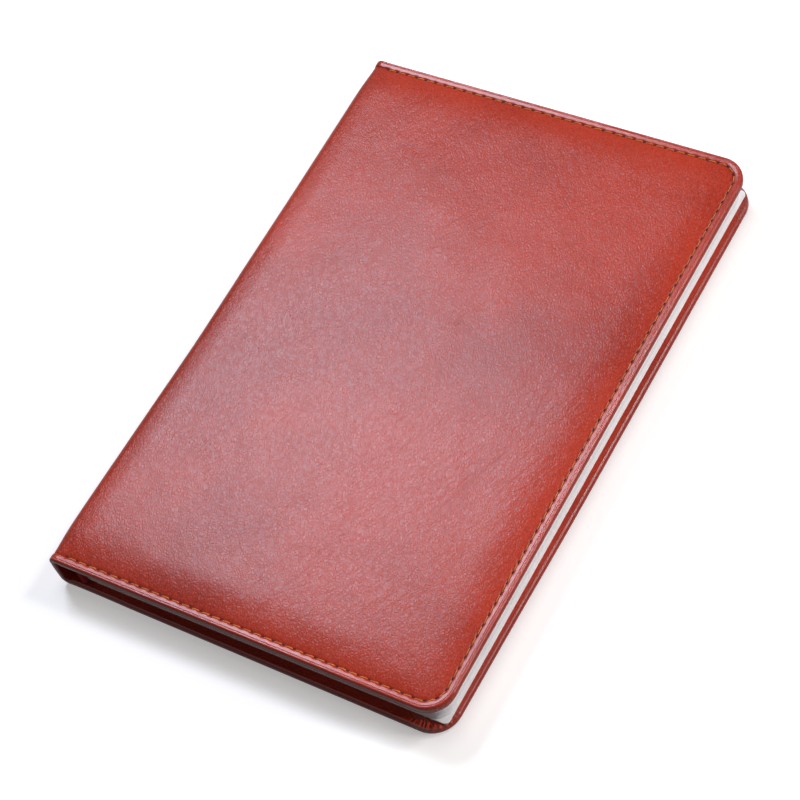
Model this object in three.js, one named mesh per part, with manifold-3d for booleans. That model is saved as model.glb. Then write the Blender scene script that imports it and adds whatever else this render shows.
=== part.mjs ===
// A padded leather notebook, closed and lying on its back cover.
//
// Millimetres, +Z up. X runs from the spine (-X) to the fore-edge (+X), Y from
// tail to head, and the origin is under the middle of the closed notebook.
// The book is a case binding: two padded covers, a hollow spine and two leather
// joints round a block of eight sewn sections between folded endpapers.

import * as THREE from 'three';
import { mergeVertices } from 'three/addons/utils/BufferGeometryUtils.js';
import Module from 'manifold-3d';

const wasm = await Module();
wasm.setup();

// Driving dimensions of the closed case
const coverLength = 215; // tail to head
const coverWidth = 145; // outer face of the spine to the fore-edge
const coverThickness = 3.9; // inner face to the top of the padded crown
const blockSpace = 9.2; // between the inner faces of the two covers
const cornerRadius = 9.5; // the two fore corners
const boardSetback = 11; // outer face of the spine to the edge of the boards
const spineEdgeRadius = 3.3; // round edge between the spine and each cover
const jointGap = 0.3; // between leather parts that turn on each other

// Layers of a cover, from the inner face outwards
const pastedownThickness = 0.25;
const turnInThickness = 0.3;
const turnInWidth = 12;
const boardThickness = 1.4;
const leatherThickness = 0.7;
const layerGap = 0.1;

// The padded surface: a rolled rim, a stitched valley and a crown
const rimHeight = 3.3; // top of the rim above the inner face
const stitchInset = 2.9; // edge of the cover to the row of stitches
const stitchHeight = 2.75; // bottom of the valley above the inner face
const crownRun = 13; // valley to the flat top of the crown
const crownSteps = 4;
const crownShape = 1.4; // above 1 the crown's points crowd towards the stitches
const crownCornerGrowth = 0.9; // how fast the corners get rounder inwards
const threadRadius = 0.2;
const threadSink = 0.8; // share of the thread's radius that lies in the valley
const threadSides = 6;
const foamSetback = 1; // edge of the foam inside the stitches
const cutOverrun = 1; // a cutting solid runs this far past the face that it cuts

// The page block
const paperSquare = 3; // cover edge to the paper at head, tail and fore-edge
const blockSetback = 7.5; // outer face of the spine to the folds of the sections
const sectionCount = 8;
const frontSections = 4; // these turn over when the book opens in the middle
const flyleafThickness = 0.2;
const leafGap = 0.1;
const coverClearance = 0.3; // front cover to the first leaf

// Spine of the case and of the block
const spineLeatherThickness = 1;
const spineCardThickness = 0.7;
const spineCardEndInset = 4; // short of the leather at head and tail
const mullThickness = 0.35;
const linerThickness = 0.45;
const spineLayerEndInset = 4; // mull and liner stop short of head and tail
const bandRadius = 1.1;
const bandGap = 0.1;
const bandSides = 12;

// Joint leather between the spine and each cover
const jointLeatherThickness = 1.2;
const rimRollWidth = 4.2; // solid rolled rim at the head and tail of a joint
const rimRollSlope = 0.5;

const arcSteps = 7;
const rimAngles = [225, 180, 135, 90]; // points round the rolled rim, in degrees

// Derived places
const closedThickness = 2 * coverThickness + blockSpace;
const spineX = -coverWidth / 2;
const foreX = coverWidth / 2;
const headY = coverLength / 2;
const boardX = spineX + boardSetback;
const jointStartX = spineX + spineEdgeRadius + jointGap;
const jointEndX = boardX - jointGap;
const blockX = spineX + blockSetback;
const rimRadius = (rimHeight - pastedownThickness) / 2;
const rimCentre = pastedownThickness + rimRadius;

const finish = {
  leather: { color: 0x9c3a2b, roughness: 0.38, metalness: 0 },
  thread: { color: 0xa85a24, roughness: 0.7, metalness: 0 },
  board: { color: 0x8d857a, roughness: 0.9, metalness: 0 },
  foam: { color: 0xd9d3c4, roughness: 0.95, metalness: 0 },
  endpaper: { color: 0xefe9dc, roughness: 0.85, metalness: 0 },
  paper: { color: 0xf3efe4, roughness: 0.9, metalness: 0 },
  mull: { color: 0xe7e2d3, roughness: 0.95, metalness: 0 },
  kraft: { color: 0xb08d62, roughness: 0.9, metalness: 0 },
  band: { color: 0x8c2026, roughness: 0.6, metalness: 0 },
};

const notebook = new THREE.Group();

function addPiece(name, geometry, look) {
  const mesh = new THREE.Mesh(geometry, new THREE.MeshStandardMaterial(finish[look]));
  mesh.name = name;
  notebook.add(mesh);
  return mesh;
}

// Closed solids in and out of the boolean library
function toSolid(geometry) {
  const bare = geometry.clone();
  bare.deleteAttribute('normal');
  bare.deleteAttribute('uv');
  const merged = mergeVertices(bare, 1e-4);
  return new wasm.Manifold(new wasm.Mesh({
    numProp: 3,
    vertProperties: new Float32Array(merged.attributes.position.array),
    triVerts: new Uint32Array(merged.index.array),
  }));
}

function toGeometry(solid) {
  const mesh = solid.getMesh();
  const geometry = new THREE.BufferGeometry();
  geometry.setAttribute('position', new THREE.BufferAttribute(new Float32Array(mesh.vertProperties), 3));
  geometry.setIndex(new THREE.BufferAttribute(new Uint32Array(mesh.triVerts), 1));
  geometry.computeVertexNormals();
  return geometry;
}

// One open path round tail, fore-edge and head, at a distance from the cover's edge
function edgePath(inset, startX) {
  const x = foreX - inset;
  const y = headY - inset;
  const bend = insetRadius(inset);
  const points = [[startX, -y]];
  for (const [side, from] of [[-1, -Math.PI / 2], [1, 0]]) {
    for (let i = 0; i <= arcSteps; i += 1) {
      const angle = from + (i / arcSteps) * (Math.PI / 2);
      points.push([x - bend + bend * Math.cos(angle), side * (y - bend) + bend * Math.sin(angle)]);
    }
  }
  points.push([startX, y]);
  return points;
}

// Corners follow the edge as far as the stitches, then get rounder up the crown
function insetRadius(inset) {
  const atStitch = cornerRadius - Math.min(inset, stitchInset);
  return atStitch + Math.max(inset - stitchInset, 0) * crownCornerGrowth;
}

// A slab whose edge follows a profile of [inset, height] points, cut straight at startX
function profiledSlab(profile, startX) {
  const rings = profile.map(([inset, height]) => edgePath(inset, startX)
    .map(([x, y]) => new THREE.Vector3(x, y, height)));
  const columns = rings[0].length;
  const positions = rings.flat();
  const indices = [];
  const at = (ring, column) => ring * columns + column;
  for (let ring = 0; ring < rings.length - 1; ring += 1) {
    for (let column = 0; column < columns - 1; column += 1) {
      indices.push(at(ring, column), at(ring, column + 1), at(ring + 1, column + 1));
      indices.push(at(ring, column), at(ring + 1, column + 1), at(ring + 1, column));
    }
  }
  const capFlat = (ring, up) => {
    const outline = rings[ring].map((point) => new THREE.Vector2(point.x, point.y));
    for (const [a, b, c] of THREE.ShapeUtils.triangulateShape(outline, [])) {
      indices.push(...(up ? [at(ring, a), at(ring, b), at(ring, c)] : [at(ring, a), at(ring, c), at(ring, b)]));
    }
  };
  capFlat(0, false);
  capFlat(rings.length - 1, true);
  const endLoop = [
    ...rings.map((_, ring) => at(ring, columns - 1)),
    ...rings.map((_, ring) => at(rings.length - 1 - ring, 0)),
  ];
  const endOutline = endLoop.map((index) => new THREE.Vector2(positions[index].y, positions[index].z));
  for (const [a, b, c] of THREE.ShapeUtils.triangulateShape(endOutline, [])) {
    indices.push(endLoop[a], endLoop[c], endLoop[b]);
  }
  const geometry = new THREE.BufferGeometry();
  geometry.setAttribute('position', new THREE.Float32BufferAttribute(positions.flatMap((p) => [p.x, p.y, p.z]), 3));
  geometry.setIndex(indices);
  return geometry;
}

// Rolled rim, valley and crown, moved inwards by a layer's thickness
function paddedProfile(offset, bottom) {
  const roll = rimRadius - offset;
  const profile = [[rimRadius, bottom]];
  for (const degrees of rimAngles) {
    const angle = THREE.MathUtils.degToRad(degrees);
    const height = rimCentre + roll * Math.sin(angle);
    const least = bottom + layerGap * (degrees <= 180 ? 2 : 1);
    profile.push([rimRadius + roll * Math.cos(angle), Math.max(height, least)]);
  }
  for (let step = 0; step <= crownSteps; step += 1) {
    const share = step / crownSteps;
    const rise = Math.sin(share * Math.PI / 2);
    profile.push([
      stitchInset + crownRun * share ** crownShape,
      stitchHeight - offset + (coverThickness - stitchHeight) * rise,
    ]);
  }
  return profile;
}

// Every piece of a cover is drawn with its inner face at height 0 and is then
// set on top of the block, or turned over under it
function placeOnFront(solid) {
  return solid.translate([0, 0, closedThickness - coverThickness]);
}

function placeOnBack(solid) {
  return solid.mirror([0, 0, 1]).translate([0, 0, coverThickness]);
}

function slabSolid(profile, startX) {
  return toSolid(profiledSlab(profile, startX));
}

// Leather of one cover: the padded skin wraps the board and is turned in
function coverLeather() {
  const past = boardX - cutOverrun;
  const skin = slabSolid(paddedProfile(0, pastedownThickness), boardX);
  const core = slabSolid(paddedProfile(leatherThickness, pastedownThickness + turnInThickness), past);
  const window = slabSolid([
    [turnInWidth, -cutOverrun],
    [turnInWidth, pastedownThickness + boardThickness],
  ], past);
  return skin.subtract(core).subtract(window);
}

function coverBoard() {
  const bottom = pastedownThickness + turnInThickness;
  const edge = rimRadius + jointGap;
  return slabSolid([[edge, bottom], [edge, bottom + boardThickness]], boardX + jointGap);
}

// Foam lies on the board, under the crown and inside the stitches
function coverFoam() {
  const bottom = pastedownThickness + turnInThickness + boardThickness;
  const under = leatherThickness + layerGap;
  const crown = paddedProfile(under, bottom).slice(rimAngles.length + 1);
  const profile = crown.filter(([, height]) => height > bottom + layerGap);
  const start = stitchInset + foamSetback;
  return slabSolid([[start, bottom], [start, bottom + layerGap / 2], ...profile], boardX + jointGap);
}

function coverPastedown() {
  return slabSolid([[paperSquare, 0], [paperSquare, pastedownThickness]], boardX + jointGap);
}

// A thread along the stitched valley, as one tube with a six-sided section
function seamThread() {
  const height = stitchHeight + threadRadius * (2 - threadSink) + layerGap / 2;
  const path = edgePath(stitchInset, boardX + cutOverrun).map(([x, y]) => new THREE.Vector3(x, y, height));
  const sides = threadSides;
  const positions = [];
  const indices = [];
  path.forEach((point, index) => {
    const before = path[Math.max(index - 1, 0)];
    const after = path[Math.min(index + 1, path.length - 1)];
    const along = after.clone().sub(before).normalize();
    const across = new THREE.Vector3(along.y, -along.x, 0);
    for (let side = 0; side < sides; side += 1) {
      const angle = (side / sides) * 2 * Math.PI;
      positions.push(point.clone()
        .addScaledVector(across, threadRadius * Math.cos(angle))
        .add(new THREE.Vector3(0, 0, threadRadius * Math.sin(angle))));
    }
  });
  for (let ring = 0; ring < path.length - 1; ring += 1) {
    for (let side = 0; side < sides; side += 1) {
      const a = ring * sides + side;
      const b = ring * sides + (side + 1) % sides;
      indices.push(a, a + sides, b + sides, a, b + sides, b);
    }
  }
  const last = (path.length - 1) * sides;
  for (let side = 1; side < sides - 1; side += 1) {
    indices.push(0, side, side + 1);
    indices.push(last, last + side + 1, last + side);
  }
  const geometry = new THREE.BufferGeometry();
  geometry.setAttribute('position', new THREE.Float32BufferAttribute(positions.flatMap((p) => [p.x, p.y, p.z]), 3));
  geometry.setIndex(indices);
  return toSolid(geometry);
}

// Leather of one joint: the crown, valleys and rolled rims run on to the spine
function jointLeather(fromX, toX) {
  const outer = paddedProfile(0, pastedownThickness);
  const crownUnder = coverThickness - jointLeatherThickness;
  const rollEdge = [rimRollWidth, pastedownThickness];
  const rollTop = [rimRollWidth + rimRollSlope, stitchHeight - leatherThickness];
  const under = [stitchInset + crownRun, crownUnder];
  const inner = [under, rollTop, rollEdge];
  const shape = new THREE.Shape();
  const outline = [
    ...outer.map(([inset, height]) => [-(headY - inset), height]),
    ...outer.slice().reverse().map(([inset, height]) => [headY - inset, height]),
    ...inner.slice().reverse().map(([inset, height]) => [headY - inset, height]),
    ...inner.map(([inset, height]) => [-(headY - inset), height]),
  ];
  outline.forEach(([y, height], index) => (index ? shape.lineTo(y, height) : shape.moveTo(y, height)));
  const geometry = new THREE.ExtrudeGeometry(shape, { depth: toX - fromX, bevelEnabled: false });
  // Shape X becomes Y, shape Y becomes Z and the depth runs along X
  geometry.applyMatrix4(new THREE.Matrix4().set(
    0, 0, 1, fromX,
    1, 0, 0, 0,
    0, 1, 0, 0,
    0, 0, 0, 1,
  ));
  return toSolid(geometry);
}

// A cover's pieces on one side of the book
function addCover(side, place) {
  const pieces = {
    board: [coverBoard(), 'board'],
    foam_pad: [coverFoam(), 'foam'],
    pastedown: [coverPastedown(), 'endpaper'],
    seam_thread: [seamThread(), 'thread'],
  };
  for (const [name, [solid, look]] of Object.entries(pieces)) {
    addPiece(`${side}_${name}`, toGeometry(place(solid)), look);
  }
}

addCover('front', placeOnFront);
addCover('back', placeOnBack);
addPiece('front_cover_leather', toGeometry(placeOnFront(coverLeather())), 'leather');
addPiece('front_joint_leather', toGeometry(placeOnFront(jointLeather(jointStartX, jointEndX))), 'leather');
const backLeather = coverLeather().add(jointLeather(jointStartX, boardX + layerGap));
addPiece('back_cover_leather', toGeometry(placeOnBack(backLeather)), 'leather');

// An outline in X and Z, extruded along the length of the book
function alongLength(points, length) {
  const shape = new THREE.Shape();
  points.forEach(([x, z], index) => (index ? shape.lineTo(x, z) : shape.moveTo(x, z)));
  const geometry = new THREE.ExtrudeGeometry(shape, { depth: length, bevelEnabled: false });
  geometry.rotateX(Math.PI / 2);
  geometry.translate(0, length / 2, 0);
  return geometry;
}

function flatStrip(fromX, toX, fromZ, toZ, length) {
  return alongLength([[fromX, fromZ], [toX, fromZ], [toX, toZ], [fromX, toZ]], length);
}

// Quarter circle in X and Z, from one angle to another in degrees
function quarter(centreX, centreZ, radius, from, to) {
  return Array.from({ length: arcSteps + 1 }, (_, i) => {
    const angle = THREE.MathUtils.degToRad(from + ((to - from) * i) / arcSteps);
    return [centreX + radius * Math.cos(angle), centreZ + radius * Math.sin(angle)];
  });
}

// The spine of the case: soft leather with round edges over a card stiffener
function spineLeather() {
  const centreX = spineX + spineEdgeRadius;
  const low = spineEdgeRadius;
  const high = closedThickness - spineEdgeRadius;
  const inside = spineEdgeRadius - spineLeatherThickness;
  return alongLength([
    ...quarter(centreX, low, spineEdgeRadius, 270, 180),
    ...quarter(centreX, high, spineEdgeRadius, 180, 90),
    ...quarter(centreX, high, inside, 90, 180),
    ...quarter(centreX, low, inside, 180, 270),
  ], coverLength);
}

addPiece('spine_leather', spineLeather(), 'leather');
const cardX = spineX + spineLeatherThickness;
addPiece('spine_card', flatStrip(
  cardX,
  cardX + spineCardThickness,
  spineEdgeRadius,
  closedThickness - spineEdgeRadius,
  coverLength - 2 * spineCardEndInset,
), 'board');

// The block: flyleaves and sections stacked from the back cover upwards
const stackRoom = blockSpace - coverClearance - leafGap;
const sectionThickness = (stackRoom - 2 * flyleafThickness - leafGap * (sectionCount + 1)) / sectionCount;

function leaf(bottom, thickness) {
  return profiledSlab([[paperSquare, bottom], [paperSquare, bottom + thickness]], blockX);
}

let stackHeight = coverThickness + leafGap;
addPiece('rear_flyleaf', leaf(stackHeight, flyleafThickness), 'endpaper');
stackHeight += flyleafThickness + leafGap;
const blockBottom = stackHeight;
for (let number = sectionCount; number >= 1; number -= 1) {
  addPiece(`section_${number}`, leaf(stackHeight, sectionThickness), 'paper');
  stackHeight += sectionThickness + leafGap;
}
const blockTop = stackHeight - leafGap;
addPiece('front_flyleaf', leaf(stackHeight, flyleafThickness), 'endpaper');

// Linings and bands are split where the block opens, between two sections
const splitHeight = blockTop - frontSections * (sectionThickness + leafGap) + leafGap / 2;
const halves = [
  ['front', splitHeight + leafGap / 2, blockTop - jointGap],
  ['rear', blockBottom + jointGap, splitHeight - leafGap / 2],
];
const mullX = blockX - layerGap - mullThickness;
const linerX = mullX - linerThickness;
const blockHeadY = headY - paperSquare;
const liningLength = 2 * (blockHeadY - spineLayerEndInset);
for (const [half, low, high] of halves) {
  addPiece(`${half}_spine_mull`, flatStrip(mullX, blockX - layerGap, low, high, liningLength), 'mull');
  addPiece(`${half}_spine_liner`, flatStrip(linerX, mullX, low, high, liningLength), 'kraft');
  for (const [end, side] of [['headband', 1], ['tailband', -1]]) {
    const band = new THREE.CylinderGeometry(bandRadius, bandRadius, high - low, bandSides);
    band.rotateX(Math.PI / 2);
    const piece = addPiece(`${half}_${end}`, band, 'band');
    piece.position.set(blockX + bandRadius / 2, side * (blockHeadY + bandGap + bandRadius), (low + high) / 2);
  }
}

export default notebook;
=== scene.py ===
"""A padded leather notebook, dressed over its CAD frame.

Metres, +Z up, X from the spine to the fore-edge, Y from tail to head. The frame
gives every place; the sizes below are what the leather, thread and paper add.
"""

import math

import bmesh
import bpy
from mathutils import Matrix, Vector, noise


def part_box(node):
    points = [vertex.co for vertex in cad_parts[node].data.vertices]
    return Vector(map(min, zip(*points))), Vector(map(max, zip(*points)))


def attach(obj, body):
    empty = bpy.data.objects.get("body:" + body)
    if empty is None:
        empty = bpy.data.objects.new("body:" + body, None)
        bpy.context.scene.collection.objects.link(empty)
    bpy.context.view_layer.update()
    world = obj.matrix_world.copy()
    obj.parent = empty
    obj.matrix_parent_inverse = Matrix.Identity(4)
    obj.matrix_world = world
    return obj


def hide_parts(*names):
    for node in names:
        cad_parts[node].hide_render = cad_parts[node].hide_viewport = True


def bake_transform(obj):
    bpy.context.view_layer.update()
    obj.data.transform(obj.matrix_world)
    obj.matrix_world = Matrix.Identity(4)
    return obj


bl_info = {
    "name": "Padded Leather Notebook",
    "version": (1, 0, 0),
    "blender": (4, 5, 0),
    "location": "3D View > Sidebar > Notebook",
    "description": "Models the covers, spine, stitching and page block of a notebook",
    "category": "Add Mesh",
}

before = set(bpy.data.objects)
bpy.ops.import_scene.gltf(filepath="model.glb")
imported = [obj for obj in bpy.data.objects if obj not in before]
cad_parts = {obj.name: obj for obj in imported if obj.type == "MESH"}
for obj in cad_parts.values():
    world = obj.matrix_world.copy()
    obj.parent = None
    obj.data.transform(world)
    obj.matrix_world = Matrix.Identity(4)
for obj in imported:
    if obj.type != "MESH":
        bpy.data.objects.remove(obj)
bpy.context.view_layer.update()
MM = 0.001

# Places from the frame
COVER_HIGH = Vector(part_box("front_cover_leather")[1])
SPINE_LOW, SPINE_HIGH = (Vector(c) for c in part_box("spine_leather"))
LEAF_HIGH = Vector(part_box("section_1")[1])
PASTE_LOW, PASTE_HIGH = (Vector(c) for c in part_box("front_pastedown"))
SPINE_X = SPINE_LOW.x
FORE_X = COVER_HIGH.x
HEAD_Y = COVER_HIGH.y
TOP_Z = COVER_HIGH.z
COVER_T = TOP_Z - PASTE_LOW.z
SEAM_X = SPINE_X + 5.5 * MM  # here the covers' skins meet the spine's
SQUARE = FORE_X - LEAF_HIGH.x

# Profile of the padding, as in the frame
CORNER_R = 9.5 * MM
RIM_TOP = 3.3 * MM
RIM_FOOT = PASTE_HIGH.z - PASTE_LOW.z
STITCH_INSET = 2.9 * MM
STITCH_TOP = 2.75 * MM
CROWN_RUN = 13 * MM
CROWN_POWER = 1 / 1.4
CORNER_GROWTH = 0.9
RIM_POWER = 0.62  # below 1 the rim's upper edge is tighter than a circle
RIM_RISE_RUN = 1.9 * MM  # the face rises to the rim over this, and steps up beside the stitches
RIM_STEP_RUN = 0.38 * MM
RIM_STEP_SHARE = 0.6
CREASE_INSET = 1.04 * MM  # a fine crease runs along the rim
CREASE_WIDTH = 0.10 * MM
CREASE_DEPTH = 0.13 * MM
SPINE_FALL = 0.7 * MM  # the padding's drop at the spine, and the width it takes
SPINE_FALL_RUN = 10 * MM
SPINE_R = SPINE_HIGH.x - SPINE_LOW.x
JOINT_T = 1.2 * MM
SPINE_T = 1.0 * MM
SPINE_ROLL = 2.3 * MM  # thickness of the turned-in ends of the spine
SPINE_ROLL_RUN = 3.6 * MM  # the cover's rim fades into those ends over this
BOARD_START = (10.5 * MM, 12 * MM)  # the board begins between these distances from the spine
HEM = 4.35 * MM  # width of the turned-in rim on the inner face
PLATEAU = 26 * MM  # inside this the cover is flat but for its softness

# How the notebook has settled, as the photograph shows it. Each change grows over a range along
# the cover, from its middle to the tail, and over one across it, from the spine's face.
SPINE_BOW = 2.0 * MM  # the spine stands out this far at the tail
BOW_ALONG = (5 * MM, 100 * MM)
BOW_ACROSS = (2 * MM, 40 * MM)
BACK_TWIST = math.radians(0.5)  # the back cover's tail end is turned by this
TWIST_ALONG = (0, 70 * MM)
TWIST_ACROSS = (6 * MM, 30 * MM)
TAIL_ROLL = 1.1 * MM  # the turned-in rim is this much thicker along the tail
ROLL_ALONG = (HEAD_Y - 13 * MM, HEAD_Y - 4 * MM)
ROLL_ACROSS = (11 * MM, 22 * MM)
ROLL_HEM = (1.8 * MM, 3.4 * MM)  # it ends between these insets
PAGE_REACH = 0.6 * MM  # the pages' fore-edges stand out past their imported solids

# Small forms of the leather
SLOW_WAVES = 21  # soft unevenness, in waves per metre
QUICK_WAVES = 80
STITCH_PULL = 0.16 * MM  # depth to which a stitch pulls the leather in
PULL_ALONG = 0.6 * MM
PULL_ACROSS = 0.5 * MM
PLEAT_DEPTH = 0.28 * MM
PLEAT_COUNT = 5

# Stitches and their holes
# Each hole is a dark dish set into the leather, as painted shade of the open hole
HOLE_SIZE = (0.84 * MM, 0.58 * MM, 0.13 * MM)
HOLE_TURN = -0.6
HOLE_LIFT = -0.07 * MM
THREAD_SIDES = 7
THREAD_PARTS = 8  # lengths into which one stitch is cut
STITCH_GAP = 0.5 * MM  # from the end of one stitch to the start of the next
STITCH_DIP = 0.62 * MM  # the ends of a stitch go down this far, and aside by the slant
STITCH_SLANT = 0.10 * MM
REST = "rest_place"


class NotebookLeather(bpy.types.PropertyGroup):
    """Leather and its padding"""

    colour: bpy.props.FloatVectorProperty(
        name="Leather", description="Main colour of the leather", subtype="COLOR",
        size=3, min=0, max=1, default=(0.50, 0.0415, 0.016),
    )
    # The dark colour also takes the painted shade in the folds, in the stitch groove and on the side of
    # the rim.
    dark_colour: bpy.props.FloatVectorProperty(
        name="Dark leather", description="Colour in the folds and by the stitches", subtype="COLOR",
        size=3, min=0, max=1, default=(0.24, 0.013, 0.004),
    )
    grain_size: bpy.props.FloatProperty(
        name="Grain size", description="Width of one pebble of the grain",
        default=0.8 * MM, min=0.2 * MM, max=4 * MM, unit="LENGTH",
    )
    roughness: bpy.props.FloatProperty(
        name="Roughness", description="Roughness of the finish", subtype="FACTOR",
        default=0.20, min=0, max=1,
    )
    softness: bpy.props.FloatProperty(
        name="Softness", description="Depth of the soft unevenness of the padding",
        default=0.16 * MM, min=0, max=1 * MM, unit="LENGTH",
    )


class NotebookSeam(bpy.types.PropertyGroup):
    """Stitches along the covers' edges"""

    pitch: bpy.props.FloatProperty(
        name="Stitch", description="Distance from one hole to the next",
        default=3.86 * MM, min=1 * MM, max=8 * MM, unit="LENGTH",
    )
    thread: bpy.props.FloatProperty(
        name="Thread", description="Thickness of the thread",
        default=0.33 * MM, min=0.1 * MM, max=1.5 * MM, unit="LENGTH",
    )
    colour: bpy.props.FloatVectorProperty(
        name="Thread colour", description="Colour of the thread", subtype="COLOR",
        size=3, min=0, max=1, default=(0.90, 0.33, 0.08),
    )


class NotebookPaper(bpy.types.PropertyGroup):
    """The page block and its endpapers"""

    colour: bpy.props.FloatVectorProperty(
        name="Paper", description="Colour of the pages", subtype="COLOR",
        size=3, min=0, max=1, default=(0.90, 0.865, 0.87),
    )
    sheet: bpy.props.FloatProperty(
        name="Sheet", description="Thickness of one sheet of paper",
        default=0.12 * MM, min=0.05 * MM, max=0.4 * MM, unit="LENGTH",
    )
    gutter: bpy.props.FloatProperty(
        name="Gutter", description="Distance from its fold in which a page bends",
        default=8 * MM, min=4 * MM, max=60 * MM, unit="LENGTH",
    )


class Wire:
    """A shader socket with the arithmetic of a number"""

    def __init__(self, tree, socket=None):
        self.tree = tree
        self.socket = socket

    def node(self, kind, settings=None, inputs=None, output=0):
        made = self.tree.nodes.new(kind)
        for name, value in (settings or {}).items():
            setattr(made, name, value)
        for name, value in (inputs or {}).items():
            if isinstance(value, Wire):
                self.tree.links.new(value.socket, made.inputs[name])
            else:
                made.inputs[name].default_value = value
        return Wire(self.tree, made.outputs[output])

    def maths(self, operation, *values):
        return self.node("ShaderNodeMath", {"operation": operation}, dict(enumerate(values)))

    def __add__(self, other):
        return self.maths("ADD", self, other)

    def __sub__(self, other):
        return self.maths("SUBTRACT", self, other)

    def __mul__(self, other):
        return self.maths("MULTIPLY", self, other)

    def __truediv__(self, other):
        return self.maths("DIVIDE", self, other)

    def __rsub__(self, other):
        return self.maths("SUBTRACT", other, self)

    def sine(self):
        return self.maths("SINE", self)

    def size(self):
        return self.maths("ABSOLUTE", self)

    def part(self):
        return self.maths("FRACT", self)

    def most(self, other):
        return self.maths("MAXIMUM", self, other)

    def ease(self, low, high, to_low=0.0, to_high=1.0):
        return self.node(
            "ShaderNodeMapRange", {"interpolation_type": "SMOOTHSTEP"},
            {0: self, 1: low, 2: high, 3: to_low, 4: to_high},
        )

    def mix(self, a, b):
        """Colour a where this wire is 0, colour b where it is 1"""
        ends = [c if isinstance(c, Wire) else (*c, 1.0) for c in (a, b)]
        return self.node(
            "ShaderNodeMix", {"data_type": "RGBA"}, {0: self, 6: ends[0], 7: ends[1]}, output=2,
        )

    def noise(self, scale, detail=2.0, rough=0.5):
        return self.node("ShaderNodeTexNoise", {}, {
            "Vector": self, "Scale": scale, "Detail": detail, "Roughness": rough,
        })

    def to_cell_edge(self, scale):
        """Distance from the borders between cells"""
        return self.node(
            "ShaderNodeTexVoronoi", {"feature": "DISTANCE_TO_EDGE"}, {"Vector": self, "Scale": scale},
        )

    def stretch(self, x, y, z, turn=0.0):
        """These coordinates with what is laid on them made longer along turned axes"""
        return self.node("ShaderNodeMapping", {"vector_type": "TEXTURE"}, {
            "Vector": self, "Rotation": (0.0, 0.0, turn), "Scale": (x, y, z),
        })

    def warp(self, scale, amount):
        """These coordinates pushed about by a noise"""
        push = self.node("ShaderNodeTexNoise", {}, {"Vector": self, "Scale": scale}, output=1)
        return push.node("ShaderNodeVectorMath", {"operation": "MULTIPLY_ADD"}, {
            0: push, 1: (amount, amount, amount), 2: self,
        })

    def axis(self, index):
        return self.node("ShaderNodeSeparateXYZ", {}, {0: self}, index)

    def bump(self, distance, strength=1.0, below=None):
        inputs = {"Height": self, "Distance": distance, "Strength": strength}
        if below is not None:
            inputs["Normal"] = below
        return self.node("ShaderNodeBump", {}, inputs)


def new_material(name):
    """A material, its shader and its object coordinates"""
    material = bpy.data.materials.new(name)
    material.use_nodes = True
    tree = material.node_tree
    shader = tree.nodes["Principled BSDF"]
    place = Wire(tree).node("ShaderNodeTexCoord", output=3)
    return material, shader, place


def link(shader, **wires):
    for name, wire in wires.items():
        wire.tree.links.new(wire.socket, shader.inputs[name.replace("_", " ")])


def rest_place(wire):
    """The place that a point of a bending piece had at rest"""
    return wire.node("ShaderNodeAttribute", {"attribute_name": REST}, output=1)


def uv_place(wire, name):
    return wire.node("ShaderNodeUVMap", {"uv_map": name})


def grain_marks(rest):
    """Pebbles, fine grain, wrinkles, creased patches and long folds of the leather"""
    size = bpy.context.scene.notebook_leather.grain_size
    grain = rest.warp(420.0, 1.8 * MM)
    pebble = grain.stretch(1.0, 1.5, 1.0, 0.5).to_cell_edge(0.95 / size).ease(0.0, 0.3)
    fine = grain.noise(1.5 / size, 3.0, 0.6)
    wrinkle_a = grain.stretch(1.0, 4.0, 1.0, -0.35).noise(620.0)
    wrinkle_b = grain.stretch(1.0, 3.0, 1.0, 0.7).noise(520.0)
    where = rest.noise(26.0).ease(0.42, 0.58)
    wrinkle = wrinkle_a * where + wrinkle_b * (1 - where)
    creased = rest.noise(33.0).ease(0.45, 0.68)
    long_fold = rest.warp(70.0, 8 * MM).stretch(1.0, 5.0, 1.0, -0.3).noise(60.0, 1.0)
    folds = (1 - (long_fold - 0.5).size().ease(0.0, 0.03)) * creased
    return pebble, fine, wrinkle, creased, folds


def seam_marks(place, rest):
    """How near a place is to the stitches, how loose, and how far it is rim, ridge, pleat or pull.

    The seam's UV map holds the distance along the seam and from the edge, in millimetres.
    """
    pitch = bpy.context.scene.notebook_seam.pitch / MM
    seam = uv_place(place, "seam")
    inset = seam.axis(1)
    # near also darkens the colour along the stitch groove: painted shade
    near = 1 - (inset - STITCH_INSET / MM).size().ease(0.2, 0.9)
    loose = inset.ease(1.6, 4.0, 0.22, 1.0)
    # rim is the side of the rolled edge, where the colour is darkened as painted shade
    rim = (1 - inset.ease(0.1, 0.7)) * inset.ease(-1.2, -0.2)
    ridge = 1 - (inset.size() - 0.85).size().ease(0.15, 0.55)
    side, arc, fore = [length / MM for length in seam_lengths()]
    half = side + arc + fore / 2
    along = half - (seam.axis(0) - half).size()
    corner = 1 - (along - (side + arc / 2)).size().ease(arc * 0.45, arc * 0.5 + 4)
    pleated = corner * (1 - inset.ease(-0.5, 0.4))
    gather = (along * 4.6 + rest.noise(420.0) * 11.0).sine() * pleated
    to_hole = ((seam.axis(0) / pitch).part() - 0.5).size() * pitch
    pull = (1 - to_hole.ease(0.15, 1.5)) * near
    return near, loose, rim, ridge, pleated, gather, pull


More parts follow.
